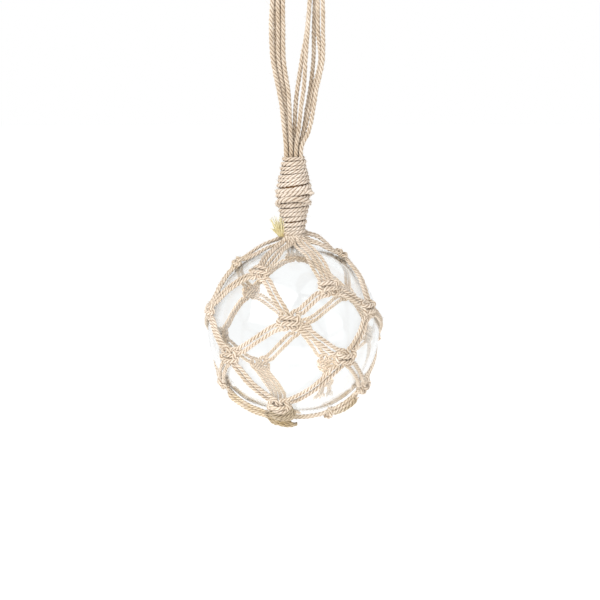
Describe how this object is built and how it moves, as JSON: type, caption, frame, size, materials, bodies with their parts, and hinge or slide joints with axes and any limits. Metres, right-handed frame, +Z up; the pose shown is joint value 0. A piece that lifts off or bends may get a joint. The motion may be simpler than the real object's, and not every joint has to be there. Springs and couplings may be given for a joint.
{
  "type": "glass float ball",
  "caption": "Clear glass float ball in a knotted natural cotton cord net, hung from a bundle of looped cords with a whipped neck.",
  "frame": {"origin": "inside top of the hanging loops, where the cords lie over their hook or peg; the ball's centre is 240 mm below it", "axes": "+Z up along the neck, -Y the side seen in the picture, +X to the right in the picture"},
  "size_m": [0.1272, 0.1265, 0.3153],
  "materials": {
    "clear_glass": "clear blown glass, polished, very faintly grey",
    "net_cord": "natural three-ply cotton cord, slightly fuzzy, yellow stains near the bottom",
    "whipping_cord": "natural three-ply cotton cord wound in slanting turns",
    "loop_cord": "natural three-ply cotton cord"
  },
  "bodies": {
    "root": {"glass_ball": "clear_glass", "rope_net": "net_cord", "neck_whipping": "whipping_cord", "loop_cord_1": "loop_cord", "loop_cord_2": "loop_cord", "loop_cord_3": "loop_cord", "loop_cord_4": "loop_cord", "loop_cord_5": "loop_cord"}
  },
  "joints": []
}
